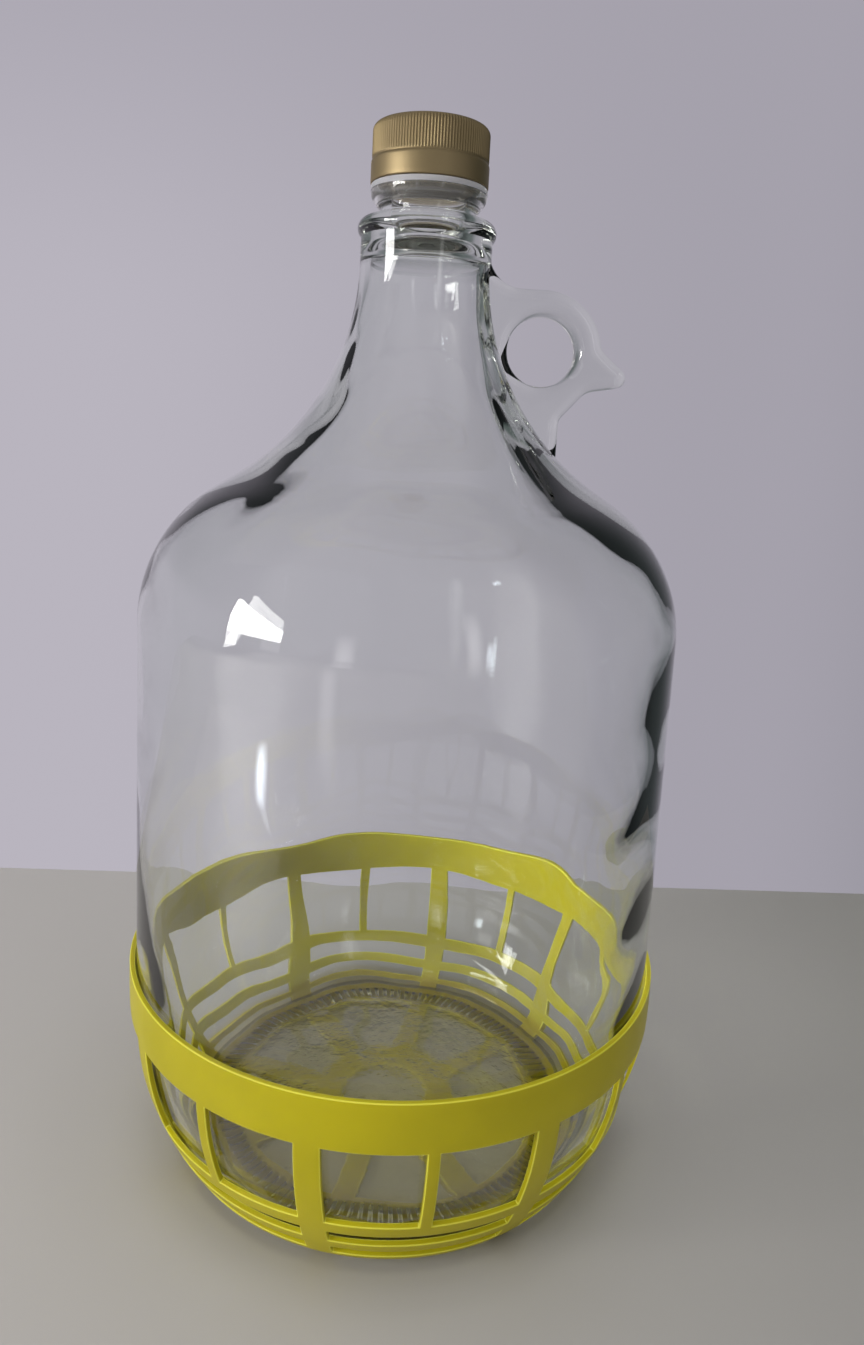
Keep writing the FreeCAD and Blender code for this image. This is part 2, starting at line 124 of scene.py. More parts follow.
# %% 4 Meshes and pieces
def around(r, z, angle):
    """Points of a grid in metres: (r cos a, r sin a, z)."""
    return np.stack([r * np.cos(angle), r * np.sin(angle), z + 0 * angle], -1) * MM


def quads(index, closed=False):
    """Faces between neighbours in a grid of point numbers. Columns close up, and rows do if closed."""
    if closed:
        index = np.concatenate([index, index[:1]])
    beside = np.roll(index, -1, axis=1)
    return np.stack([index[:-1], beside[:-1], beside[1:], index[1:]], -1).reshape(-1, 4)


def fan(pole, ring):
    """Triangles from a pole to each pair of neighbours in a ring."""
    return np.stack([np.full(len(ring), pole), np.roll(ring, -1), ring], -1)


def mesh_from(name, points, *faces):
    """A mesh in metres from points and arrays of faces, with its normals turned outwards."""
    corners = [face for group in faces for face in group.tolist()]
    mesh = bpy.data.meshes.new(name)
    mesh.from_pydata(points.reshape(-1, 3).tolist(), [], corners)
    work = bmesh.new()
    work.from_mesh(mesh)
    bmesh.ops.recalc_face_normals(work, faces=work.faces)
    open_edges = sum(not edge.is_manifold for edge in work.edges)
    work.to_mesh(mesh)
    work.free()
    mesh.polygons.foreach_set("use_smooth", [True] * len(mesh.polygons))
    print(name, len(mesh.polygons), "faces,", open_edges, "open edges")
    return mesh


def lathe(name, line, columns):
    """An outline turned about the axis. It gets poles if it starts on the axis, else it is a ring."""
    line = outline(line)
    solid = line[0, 0] < 0.01
    rows = line[1:-1] if solid else line
    angle = np.linspace(0, 2 * math.pi, columns, endpoint=False)
    points = around(rows[:, :1], rows[:, 1:], angle).reshape(-1, 3)
    index = np.arange(len(points)).reshape(len(rows), columns)
    if not solid:
        return mesh_from(name, points, quads(index, closed=True))
    poles = np.array([[0, 0, line[0, 1]], [0, 0, line[-1, 1]]]) * MM
    caps = fan(len(points), index[0]), fan(len(points) + 1, index[-1])[:, ::-1]
    return mesh_from(name, np.concatenate([points, poles]), quads(index), *caps)


def piece(name, mesh, body, node, materials):
    """A piece that rides on a body, stands for a node whose own part it hides, and gets the materials."""
    made = bpy.data.objects.new(name, mesh)
    scene.collection.objects.link(made)
    mesh.materials.clear()
    for material in materials:
        mesh.materials.append(material)
    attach(made, body)
    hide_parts(node)
    return made


# %% [markdown]
# A material is a small graph of nodes. Written out by hand, each sum takes four lines, so one
# class wraps a socket and turns + - * into Math nodes. Any other node comes from Shader.node,
# which sets the node's choices first and then its sockets, because some choices change which
# sockets there are.

# %% 5 Shader expressions
class Value:
    """A socket that can be added, subtracted and multiplied."""

    def __init__(self, shader, socket):
        self.shader, self.socket = shader, socket

    def maths(self, kind, first, second):
        return self.shader.node("Math", {"operation": kind}, {0: first, 1: second})

    def __add__(self, other):
        return self.maths("ADD", self, other)

    def __radd__(self, other):
        return self.maths("ADD", other, self)

    def __sub__(self, other):
        return self.maths("SUBTRACT", self, other)

    def __rsub__(self, other):
        return self.maths("SUBTRACT", other, self)

    def __mul__(self, other):
        return self.maths("MULTIPLY", self, other)

    def __rmul__(self, other):
        return self.maths("MULTIPLY", other, self)


class Shader:
    """The nodes of one material, of the world or of a lamp."""

    def __init__(self, owner):
        owner.use_nodes = True
        self.owner, self.tree = owner, owner.node_tree
        self.tree.nodes.clear()

    def node(self, kind, settings=None, sockets=None, output=0):
        """A new node: its settings come first, then the value or the link of each socket."""
        made = self.tree.nodes.new("ShaderNode" + kind)
        for name, setting in (settings or {}).items():
            setattr(made, name, setting)
        for key, value in (sockets or {}).items():
            socket = made.inputs[key]
            if isinstance(value, Value):
                self.tree.links.new(value.socket, socket)
            else:
                socket.default_value = (*value, 1.0) if socket.type == "RGBA" else value
        return Value(self, made.outputs[output])

    def place(self):
        """Where a point of the surface lies on the piece, in metres."""
        return self.node("TexCoord", output="Object")

    def parts(self, vector):
        """The three numbers of a vector."""
        first = self.node("SeparateXYZ", sockets={"Vector": vector})
        return [Value(self, socket) for socket in first.socket.node.outputs]

    def noise(self, scale, detail=2.0):
        """Soft noise from 0 to 1, with a scale of so many spots a metre."""
        sockets = {"Vector": self.place(), "Scale": scale, "Detail": detail}
        return self.node("TexNoise", sockets=sockets, output="Fac")

    def step(self, value, low, high):
        """0 to 1 as the value goes from low to high, or 1 to 0 where low is the larger."""
        if low > high:
            return 1 - self.step(value, high, low)
        sockets = {"Value": value, "From Min": low, "From Max": high}
        return self.node("MapRange", {"interpolation_type": "SMOOTHSTEP"}, sockets, output="Result")

    def mix(self, share, first, second):
        """From the first colour to the second."""
        return self.node("Mix", {"data_type": "RGBA"}, {0: share, 6: first, 7: second}, output=2)

    def bump(self, height, distance, strength=1.0):
        """A normal that leans as if the surface had the height, times the distance in metres."""
        sockets = {"Height": height, "Distance": distance, "Strength": strength}
        return self.node("Bump", sockets=sockets, output="Normal")

    def finish(self, surface, kind="OutputMaterial", volume=None):
        """Link the finished shader to the output, and give back what the nodes belong to."""
        out = self.tree.nodes.new("ShaderNode" + kind)
        self.tree.links.new(surface.socket, out.inputs["Surface"])
        if volume:
            self.tree.links.new(volume.socket, out.inputs["Volume"])
        return self.owner


def material(name):
    """The nodes of a new material, still empty."""
    return Shader(bpy.data.materials.new(name))


# %% [markdown]
# A blown bottle is one wall of glass with two skins. The outer skin took the mould's shape, so its
# outline repeats the arcs of the solid: a domed foot, a small corner, a long heel, a straight
# side, a shoulder, a short cone and the neck's curve. Points lie a millimetre or two apart,
# because glass shows each facet of a coarse mesh as a kink in what is seen through it.

# %% 6 Outer outline of the glass
GLASS_R, NECK_R = 90.0, 21.4
FOOT_Z, PUSH_UP, PUSH_UP_R = 2.2, 6.0, 56.0
HEEL_R, HEEL_Z, CORNER_R = 98.0, 60.0, 9.0
SIDE_TOP, SHOULDER_TURN = 185.0, 58.0
NARROWING = GLASS_R - NECK_R
SHOULDER_R, CURVE_R = 0.758 * NARROWING, 1.212 * NARROWING
COS, SIN = math.cos(math.radians(SHOULDER_TURN)), math.sin(math.radians(SHOULDER_TURN))
CONE = (NARROWING - (SHOULDER_R + CURVE_R) * (1 - COS)) / SIN
NECK_Z = SIDE_TOP + (SHOULDER_R + CURVE_R) * SIN + CONE * COS
HEEL_AT = (GLASS_R - HEEL_R, HEEL_Z)
SHOULDER_AT = (GLASS_R - SHOULDER_R, SIDE_TOP)
CURVE_AT = (NECK_R + CURVE_R, NECK_Z)
CORNER_Z = FOOT_Z + CORNER_R
CORNER_AT = (HEEL_AT[0] + math.sqrt((HEEL_R - CORNER_R) ** 2 - (HEEL_Z - CORNER_Z) ** 2), CORNER_Z)
CORNER_TURN = math.degrees(math.atan2(CORNER_Z - HEEL_Z, CORNER_AT[0] - HEEL_AT[0]))

BEAD_Z, BEAD_R, BEAD_TUBE = NECK_Z + 10.3, NECK_R + 1.1, 3.6
FINISH_R, FINISH_Z, FINISH_BLEND = NECK_R - 5.8, BEAD_Z + BEAD_TUBE, 1.6
LOCK_Z, LOCK_STAND, LOCK_TALL, LOCK_SLOPE = FINISH_Z + 6.3, 1.0, 2.0, 1.0
CAP_LOW = LOCK_Z + 4.0
CAP_HIGH = CAP_LOW + 18.2
LIP_Z, LIP_ROUND, BORE_R = CAP_HIGH - 2.6, 1.2, 12.0


def side_line(depth):
    """From the top of the heel to the neck, at a depth inside the outer skin."""
    side = run((GLASS_R - depth, HEEL_Z), (GLASS_R - depth, SIDE_TOP), 4.5)
    shoulder = arc(SHOULDER_AT, SHOULDER_R - depth, 0, SHOULDER_TURN, 1.8)
    curve_start = (CURVE_AT[0] - (CURVE_R + depth) * COS, CURVE_AT[1] - (CURVE_R + depth) * SIN)
    cone = run(shoulder[-1], curve_start, 2.0)
    curve = arc(CURVE_AT, CURVE_R + depth, 180 + SHOULDER_TURN, 180, 2.0)
    return outline(side, shoulder, cone, curve)


def outer_side():
    """From the corner of the foot up over the bead, the locking ring and the lip."""
    half = math.sqrt(BEAD_TUBE ** 2 - (NECK_R - BEAD_R + BEAD_TUBE) ** 2)
    low = math.degrees(math.atan2(-half, NECK_R - BEAD_R + BEAD_TUBE))
    blend = FINISH_R + FINISH_BLEND
    lock = [(FINISH_R, LOCK_Z - LOCK_SLOPE), (FINISH_R + LOCK_STAND, LOCK_Z),
            (FINISH_R + LOCK_STAND, LOCK_Z + LOCK_TALL), (FINISH_R, LOCK_Z + LOCK_TALL + LOCK_SLOPE)]
    return outline(
        arc(CORNER_AT, CORNER_R, -90, CORNER_TURN, 1.1),
        arc(HEEL_AT, HEEL_R, CORNER_TURN, 0, 3.0),
        side_line(0.0),
        run((NECK_R, NECK_Z), (NECK_R, BEAD_Z - half), 2.5),
        arc((BEAD_R - BEAD_TUBE, BEAD_Z), BEAD_TUBE, low, 90, 0.5),
        (blend, FINISH_Z),
        arc((blend, FINISH_Z + FINISH_BLEND), FINISH_BLEND, 270, 180, 0.35),
        lock,
        run(lock[-1], (FINISH_R, LIP_Z - LIP_ROUND), 4.0),
        arc((FINISH_R - LIP_ROUND, LIP_Z - LIP_ROUND), LIP_ROUND, 0, 90, 0.3))


print("neck from %.1f mm, bead at %.1f, lip at %.1f" % (NECK_Z, BEAD_Z, LIP_Z))

# %% [markdown]
# The inner skin only met air. It rises in a dome over the floor, follows the outer skin at the
# depth of the wall, and narrows to the bore below the lip.

# %% 7 Inner outline of the glass
WALL, FLOOR, FLOOR_ROUND, MOUTH_ROUND = 3.4, 5.5, 16.0, 0.8
THROAT_LOW, THROAT_HIGH = NECK_Z - 1.3, NECK_Z + 7.7


def inner_side():
    """From the middle of the inner floor up to the lip."""
    low = FOOT_Z + FLOOR
    reach, rise = HEEL_R - WALL - FLOOR_ROUND, HEEL_Z - low - FLOOR_ROUND
    centre = (HEEL_AT[0] + math.sqrt(reach ** 2 - rise ** 2), low + FLOOR_ROUND)
    turn = math.degrees(math.atan2(centre[1] - HEEL_Z, centre[0] - HEEL_AT[0]))
    dome = (centre[0] ** 2 + PUSH_UP ** 2) / (2 * PUSH_UP)
    r = np.linspace(0.001, centre[0], 18)
    floor = np.stack([r, low + PUSH_UP - dome + np.sqrt(dome ** 2 - r ** 2)], -1)
    share = np.linspace(0, 1, 11)[:, None]
    throat = np.hstack([NECK_R - WALL + (BORE_R - NECK_R + WALL) * smoothstep(0, 1, share),
                        THROAT_LOW + (THROAT_HIGH - THROAT_LOW) * share])
    return outline(
        floor,
        arc(centre, FLOOR_ROUND, -90, turn, 2.0),
        arc(HEEL_AT, HEEL_R - WALL, turn, 0, 3.0),
        side_line(WALL),
        throat,
        run(throat[-1], (BORE_R, LIP_Z - MOUTH_ROUND), 4.0),
        arc((BORE_R + MOUTH_ROUND, LIP_Z - MOUTH_ROUND), MOUTH_ROUND, 180, 90, 0.3))


print("inner outline of", len(inner_side()), "points")

# %% [markdown]
# Blown glass is never even, and that is what makes it look like glass: where the wall is thick,
# light is trapped in it and leaves sideways, so the edge of the bottle turns dark. This wall is
# thick at the right and on the shoulder, in soft lumps, with long waves and fine ripples all
# round. A bump could only tilt the light at the surface, and not lengthen its way through the
# glass, so the unevenness is part of the mesh.

# %% 8 Unevenness of the glass
UNEVEN_FROM, UNEVEN_FULL, UNEVEN_LAST, UNEVEN_END, PUDDLES_END = 14.0, 40.0, 278.0, 298.0, 26.0
# Directions from the axis, and how far round the bottle the lumps or the stronger ripples reach.
RIGHT, RIGHT_REACH, RIGHT_LEVEL = math.radians(-14), 0.6, 0.3
LEFT, LEFT_REACH = math.radians(-165), 0.5
FRONT_LEFT, FRONT_REACH, FRONT_MORE = math.radians(-130), 0.4, 1.4
# Each lump: the height of its middle, its reach up and down, and what it adds to the wall.
RIGHT_LUMPS = ((228, 20, 2.8), (188, 9, -0.9), (163, 8, 0.7), (129, 8, 1.2), (93, 12, 1.2), (62, 15, 1.6))
LEFT_LUMPS = ((256, 13, 2.2), (233, 9, 1.7), (207, 9, -1.4), (150, 40, -1.0))
# Each wave: its size, how often it goes round, how much it leans with the height, and its start.
WAVES = ((0.20, 2, 0.031, 0.6), (0.16, 3, -0.047, 2.1), (0.12, 5, 0.072, 4.0), (0.08, 8, -0.055, 1.0))
RIPPLES = ((0.035, 13, 0.11, 2.0), (0.03, 17, -0.15, 0.3), (0.03, 9, 0.17, 0.0))


def bell(value, middle, reach):
    """exp(-((value - middle) / reach)^2): one at the middle, and nearly nothing at twice the reach."""
    return np.exp(-((value - middle) / reach) ** 2)


def apart(angle, other):
    """The turn between two angles, from -pi to pi."""
    return (angle - other + math.pi) % (2 * math.pi) - math.pi


def lumps(z, rows):
    """The sum of height * bell over the lumps."""
    return sum(height * bell(z, middle, reach) for middle, reach, height in rows)


def waves(z, angle, rows):
    """The sum of size * sin(times * angle + lean * z + start)."""
    return sum(size * np.sin(times * angle + lean * z + start) for size, times, lean, start in rows)


def thickness(r, z, angle):
    """How much thicker than drawn the glass is, in millimetres: lumps and waves up the wall, and
    on the floor shallow puddles, which are products of sines of x and y."""
    right = bell(apart(angle, RIGHT), 0, RIGHT_REACH)
    left = bell(apart(angle, LEFT), 0, LEFT_REACH)
    thick = right * (RIGHT_LEVEL + lumps(z, RIGHT_LUMPS)) + left * lumps(z, LEFT_LUMPS)
    ripples = waves(z, angle, RIPPLES) * (1 + FRONT_MORE * bell(apart(angle, FRONT_LEFT), 0, FRONT_REACH))
    wall = smoothstep(UNEVEN_FROM, UNEVEN_FULL, z) * (1 - smoothstep(UNEVEN_LAST, UNEVEN_END, z))
    wall = wall * (thick + waves(z, angle, WAVES) + ripples)
    x, y = r * np.cos(angle), r * np.sin(angle)
    puddles = 0.35 * np.sin(0.13 * x + 0.05 * y + 0.5) * np.sin(0.16 * y - 0.04 * x)
    puddles = puddles + 0.12 * np.sin(0.31 * x + 0.27 * y)
    return wall + puddles * (1 - smoothstep(UNEVEN_FROM, PUDDLES_END, z))


off_by = thickness(inner_side()[:, :1], inner_side()[:, 1:], np.linspace(0, 2 * math.pi, 90))
print("the glass is %.1f to %.1f mm thicker than drawn" % (off_by.min(), off_by.max()))

# %% [markdown]
# The foot stands on a ring of about 120 short knurls, which keep hot glass from sticking to a cold
# plate, and they show through the base as a ring of dark dashes. They need four columns each, far
# more than the wall does, so the underside is a grid of its own with twice the columns, and a row
# of five-sided faces joins the two grids.

# %% 9 Wall of glass
COLUMNS = 240
KNURL_DEEP, KNURL_FROM, KNURL_TO, KNURL_EDGE, KNURL_COLUMNS = 0.75, 57.0, 64.8, 0.5, 4
KNURL_RADII = [56.6, 57.4, 59, 61, 63, 64.2, 65]


def foot_grid():
    """The underside: a shallow dome, then a flat ring with every fourth column pressed in as a knurl."""
    dome = (PUSH_UP_R ** 2 + PUSH_UP ** 2) / (2 * PUSH_UP)
    r = np.append(run((3, 0), (PUSH_UP_R, 0), 5.0)[:, 0], KNURL_RADII)[:, None]
    z = FOOT_Z + PUSH_UP - dome + np.sqrt(dome ** 2 - np.minimum(r, PUSH_UP_R) ** 2)
    pressed = smoothstep(KNURL_FROM - KNURL_EDGE, KNURL_FROM, r)
    pressed = pressed * (1 - smoothstep(KNURL_TO - KNURL_EDGE, KNURL_TO, r))
    groove = np.arange(2 * COLUMNS) % KNURL_COLUMNS == 0
    return r, z + KNURL_DEEP * pressed * groove


def glass_mesh():
    """Underside, outer skin and inner skin as one closed wall, joined over the lip."""
    angle = np.linspace(0, 2 * math.pi, COLUMNS, endpoint=False)
    fine_angle = np.linspace(0, 2 * math.pi, 2 * COLUMNS, endpoint=False)
    under = around(*foot_grid(), fine_angle)
    outer, inner = outer_side(), inner_side()
    along = np.gradient(inner, axis=0)
    into_glass = np.stack([along[:, 1], -along[:, 0]], -1) / np.linalg.norm(along, axis=1, keepdims=True)
    extra = thickness(inner[:, :1], inner[:, 1:], angle[None])[..., None]
    moved = inner[:, None] - into_glass[:, None] * extra
    outer_skin = around(outer[:, :1], outer[:, 1:], angle)
    inner_skin = around(moved[1:, :, 0], moved[1:, :, 1], angle)
    wall = np.concatenate([outer_skin, inner_skin[::-1]])
    first = under.shape[0] * under.shape[1]
    under_index = np.arange(first).reshape(under.shape[:2])
    wall_index = first + np.arange(wall.shape[0] * COLUMNS).reshape(-1, COLUMNS)
    rim, corner = under_index[-1], wall_index[0]
    joint = np.stack([rim[0::2], rim[1::2], np.roll(rim, -2)[0::2], np.roll(corner, -1), corner], -1)
    poles = np.array([[0, 0, FOOT_Z + PUSH_UP], [0, 0, inner[0, 1]]]) * MM
    points = np.concatenate([under.reshape(-1, 3), wall.reshape(-1, 3), poles])
    caps = fan(len(points) - 2, under_index[0]), fan(len(points) - 1, wall_index[-1])[:, ::-1]
    return mesh_from("bottle_glass", points, quads(under_index), joint, quads(wall_index), *caps)


print("columns of the wall", COLUMNS, "and", 2 * COLUMNS // KNURL_COLUMNS, "knurls")

# %% [markdown]
# Clear glass bends light by its index of 1.5 and swallows a little of it, so thick and slanted
# parts look grey-green. The absorption is a volume inside the wall, which is how a real bottle
# gets its tint. Lamps shine straight through, because light that glass would focus needs far more
# samples than a picture has. The underside is dimpled and rough, as glass is where it cooled
# against the mould's bottom, so that the basket below it shows only as a blur. Its colour holds
# painted yellow light, for the basket's light through that blur, and painted shade as dark dashes at
# the knurls' bottoms. In the neck, the bore below the cap has a brown painted shade under the cap.

# %% 10 Glass finish
# The brown is painted shade under the cap, used in the bore and inside the collar.
CLEAR, PAINTED_CAP_SHADE = (0.985, 0.995, 0.99), (0.58, 0.52, 0.38)
# Painted light on the underside: a yellow for the light the basket throws back, and a dark brown for shade
# at the knurls' bottoms.
UNDER_PAINTED_LIGHT, KNURL_PAINTED_SHADE = (0.96, 0.89, 0.52), (0.20, 0.17, 0.08)
WALL_SHADOW, UNDER_SHADOW = (0.93, 0.94, 0.92), (0.50, 0.46, 0.36)
GLASS_GREEN, GLASS_DENSITY = (0.60, 0.66, 0.56), 14.0

glass = material("clear_glass")
x, y, z = glass.parts(glass.place())
square = x * x + y * y
underside = glass.step(z, 9.8 * MM, 8.0 * MM)
foot_ring = glass.step(square, (55.0 * MM) ** 2, (57.2 * MM) ** 2)
# Painted shade: a mask for dark dashes at the bottoms of the knurls.
knurl_shade_mask = foot_ring * glass.step(z, 2.3 * MM, 2.7 * MM) * glass.step(z, 3.4 * MM, 3.1 * MM)
# Painted shade: the bore between the locking ring and the cap is tinted brown.
in_bore = glass.step(square, (14.5 * MM) ** 2, (14.0 * MM) ** 2)
over_lock = glass.step(z, LOCK_Z * MM, (LOCK_Z + 1) * MM)
under_cap = glass.step(z, CAP_LOW * MM, (CAP_LOW - 1) * MM)
wall_and_cap_shade = glass.mix(in_bore * over_lock * under_cap, CLEAR, PAINTED_CAP_SHADE)
# The underside's colour: painted yellow light, with painted shade at the knurls.
under_painted_light_and_shade = glass.mix(knurl_shade_mask, UNDER_PAINTED_LIGHT, KNURL_PAINTED_SHADE)
waviness = glass.noise(55.0) * 0.00004
dimples = glass.noise(260.0, 3.0) * underside * (0.0006 - foot_ring * 0.0005)
bending = glass.node("BsdfPrincipled", sockets={
    "Base Color": glass.mix(underside, wall_and_cap_shade, under_painted_light_and_shade),
    "Roughness": underside * (0.26 - foot_ring * 0.20),
    "IOR": 1.5,
    "Transmission Weight": 1.0,
    "Normal": glass.bump(waviness + dimples, 1.0)})
wall_light = glass.node("BsdfTransparent", sockets={"Color": WALL_SHADOW})
under_light = glass.node("BsdfTransparent", sockets={"Color": UNDER_SHADOW})
straight = glass.node("MixShader", sockets={0: underside, 1: wall_light, 2: under_light})
for_lamps = glass.node("LightPath", output="Is Shadow Ray")
both = glass.node("MixShader", sockets={0: for_lamps, 1: bending, 2: straight})
green = glass.node("VolumeAbsorption", sockets={"Color": GLASS_GREEN, "Density": GLASS_DENSITY})
clear_glass = glass.finish(both, volume=green)
bottle = piece("bottle_glass", glass_mesh(), "vessel", "bottle", [clear_glass])

# %% [markdown]
# The finger loop was pressed from the same glass and fused to the neck. Its outline is a ring with
# a spur for the thumb and a foot that runs down onto the shoulder. The hole's centre places
# everything else, and each corner is rounded by an arc that touches both of its sides. Turns are
# in degrees, counted up from outwards.

# %% 11 Outline of the finger loop
HOLE = (NECK_R + 17.9, NECK_Z - 25.4)
LOOP_R = 19.6
LOOP_FOOT = (HOLE[0] + 7.1, HOLE[1] - 21.8)
FOOT_TURN, SPUR_TURN, BACK_TURN = 48, 10, 140
FOOT_ROUND, SPUR_ROUND, TIP_ROUND, THROAT_R, TOP_BLEND = 4.0, 6.0, 3.4, 5.0, 11.0
FOOT_LONG, SPUR_LONG, FOOT_DEEP = 12.6, 17.3, 40
ROOT_IN, INSIDE_NECK = 0.85, 6.0


def toward(point, turn, distance):
    """The point at a distance in the direction of a turn in degrees."""
    turn = np.radians(turn)
    return np.stack([point[0] + distance * np.cos(turn), point[1] + distance * np.sin(turn)], -1)


def rounded(point, turn_in, turn_out, radius):
    """The arc that rounds a corner, tangent to the run that comes in and to the one that goes out."""
    bend = (turn_out - turn_in) / 2
    side = 90 if bend > 0 else -90
    start = toward(point, turn_in, -radius * abs(math.tan(math.radians(bend))))
    centre = toward(start, turn_in + side, radius)
    return toward(centre, np.linspace(turn_in, turn_out, max(4, int(abs(bend) / 4))) - side, radius)


def loop_outline():
    """From the foot on the shoulder over the spur, round the ring and up the neck. The throat between
    spur and ring is an arc that touches both, found from the distance of its centre to the hole."""
    spur_low = toward(LOOP_FOOT, FOOT_TURN, FOOT_LONG)
    spur_tip = toward(spur_low, SPUR_TURN, SPUR_LONG)
    beside = toward(spur_tip, BACK_TURN - 90, THROAT_R) - HOLE
    along = beside @ toward((0, 0), BACK_TURN, 1)
    across = beside @ toward((0, 0), BACK_TURN - 90, 1)
    way = -along - math.sqrt((LOOP_R + THROAT_R) ** 2 - across ** 2)
    throat = toward(beside + HOLE, BACK_TURN, way)
    meets = math.degrees(math.atan2(throat[1] - HOLE[1], throat[0] - HOLE[0]))
    blend_at = (NECK_R - ROOT_IN + TOP_BLEND, HOLE[1] + LOOP_R + TOP_BLEND)
    return outline(
        (INSIDE_NECK, HOLE[1] - FOOT_DEEP),
        (LOOP_FOOT[0], HOLE[1] - FOOT_DEEP),
        rounded(LOOP_FOOT, 90, FOOT_TURN, FOOT_ROUND),
        rounded(spur_low, FOOT_TURN, SPUR_TURN, SPUR_ROUND),
        rounded(spur_tip, SPUR_TURN, BACK_TURN, TIP_ROUND),
        toward(throat, np.linspace(BACK_TURN + 90, 180 + meets, 8), THROAT_R),
        toward(HOLE, np.linspace(meets, 90, 24)[1:], LOOP_R),
        toward(blend_at, np.linspace(270, 180, 14), TOP_BLEND),
        (INSIDE_NECK, blend_at[1]))


print("hole of the loop at %.1f mm from the axis, %.1f mm up" % HOLE)

# %% [markdown]
# The loop is a plate with a hole and soft edges. Points could be laid over it in a grid, but a
# filled 2D curve with a round bevel gives all of that in one go. It is made lying down, stood up
# into the plane of the axis, and the double points at its seams are merged.

# %% 12 Plate of the finger loop
HOLE_R, LOOP_THICK, LOOP_ROUND = 11.4, 12.0, 3.1


def loop_mesh():
    """The outline and its hole as a filled curve with thickness, stood up in the plane of the axis."""
    curve = bpy.data.curves.new("loop", "CURVE")
    curve.dimensions, curve.fill_mode = "2D", "BOTH"
    curve.extrude, curve.bevel_depth = (LOOP_THICK / 2 - LOOP_ROUND) * MM, LOOP_ROUND * MM
    curve.offset, curve.bevel_resolution = -LOOP_ROUND * MM, 5
    for line in (loop_outline(), toward(HOLE, np.linspace(360, 0, 72, endpoint=False), HOLE_R)):
        spline = curve.splines.new("POLY")
        spline.points.add(len(line) - 1)
        spline.points.foreach_set("co", np.hstack([line * MM, np.tile([0.0, 1.0], (len(line), 1))]).ravel())
        spline.use_cyclic_u = True
    carrier = bpy.data.objects.new("loop_curve", curve)
    mesh = bpy.data.meshes.new_from_object(carrier)
    bpy.data.objects.remove(carrier)
    mesh.transform(Matrix.Rotation(math.radians(90), 4, "X"))
    work = bmesh.new()
    work.from_mesh(mesh)
    bmesh.ops.remove_doubles(work, verts=work.verts, dist=1e-6)
    bmesh.ops.recalc_face_normals(work, faces=work.faces)
    work.to_mesh(mesh)
    work.free()
    print("finger loop", len(mesh.polygons), "faces")
    return mesh


# %% [markdown]
# Two bodies of glass that only overlap would show a seam inside the glass. So the loop's inner end
# is first cut to the middle of the neck's wall, and a boolean union then makes bottle and loop one
# closed skin.

# %% 13 Fuse the loop to the neck
CORE_LOW, CORE_HIGH = 205, BEAD_Z + 5


def helper(name, mesh):
    """An object that is only needed until the pieces are joined."""
    made = bpy.data.objects.new(name, mesh)
    scene.collection.objects.link(made)
    return made


def combine(target, tool, kind):
    """The result of an exact boolean becomes the target's mesh."""
    modifier = target.modifiers.new("join", "BOOLEAN")
    modifier.operation, modifier.solver, modifier.object = kind, "EXACT", tool
    mesh = bpy.data.meshes.new_from_object(target.evaluated_get(bpy.context.evaluated_depsgraph_get()))
    target.modifiers.clear()
    target.data = mesh


def shade(mesh, degrees):
    """Smooth, with a sharp edge where two faces meet at more than an angle."""
    mesh.polygons.foreach_set("use_smooth", [True] * len(mesh.polygons))
    mesh.set_sharp_from_angle(angle=math.radians(degrees))


middle_of_wall = side_line(WALL / 2)
middle_of_wall = middle_of_wall[middle_of_wall[:, 1] > CORE_LOW]
core_line = outline((0, CORE_LOW), middle_of_wall, (NECK_R - WALL / 2, CORE_HIGH), (0, CORE_HIGH))
loop = helper("loop", loop_mesh())
core = helper("core", lathe("core", core_line, 128))
bpy.context.view_layer.update()
combine(loop, core, "DIFFERENCE")
combine(bottle, loop, "UNION")
for tool in (loop, core):
    bpy.data.objects.remove(tool)
shade(bottle.data, 30)
bottle.data.materials.clear()
bottle.data.materials.append(clear_glass)
print("bottle with its loop", len(bottle.data.polygons), "faces")

# %% [markdown]
# The basket is one moulding: a band round the heel, eight wide posts that run on under the base as
# spokes, eight narrow ones, and rings. It could be cut out of a turned wall, but booleans leave
# ragged faces at every corner. So it is made as a net of cells: each row lies at one height of the
# wall or one radius of the floor, and cells that are openings are left out.

# %% 14 Rows of the basket
CLEARANCE, PLASTIC = 0.4, 1.8
SKIN = CLEARANCE + PLASTIC
BAND_HIGH, BAND_LOW = HEEL_Z + 8.8, HEEL_Z - 7.3
# A ring is solid all round. A window lies between all posts, a slot between the wide ones.
RING, WINDOW, SLOT = 0, 1, 2
WALL_ROWS = (
    ([BAND_HIGH, 67.8, 65, 62, 60, 57, 54.5], RING),
    ([BAND_LOW, 50, 46, 42, 38, 34, 30, 26.5], WINDOW),
    ([23.8, 22.6, 21.4, 20.2], RING),
    ([19.0, 17.3, 15.5], SLOT),
    ([13.8, 12.5, 11.2], RING),
    ([9.9, 8.6, 7.2], SLOT),
    ([5.8, 4.9, 4.0], RING),
    ([3.1, 2.0, 1.1, 0.5, 0.12], SLOT))
FLOOR_ROWS = (
    ([CORNER_AT[0], 62, 58], RING),
    ([54, 47, 40, 33], SLOT),
    ([26, 22, 18, 15], RING))


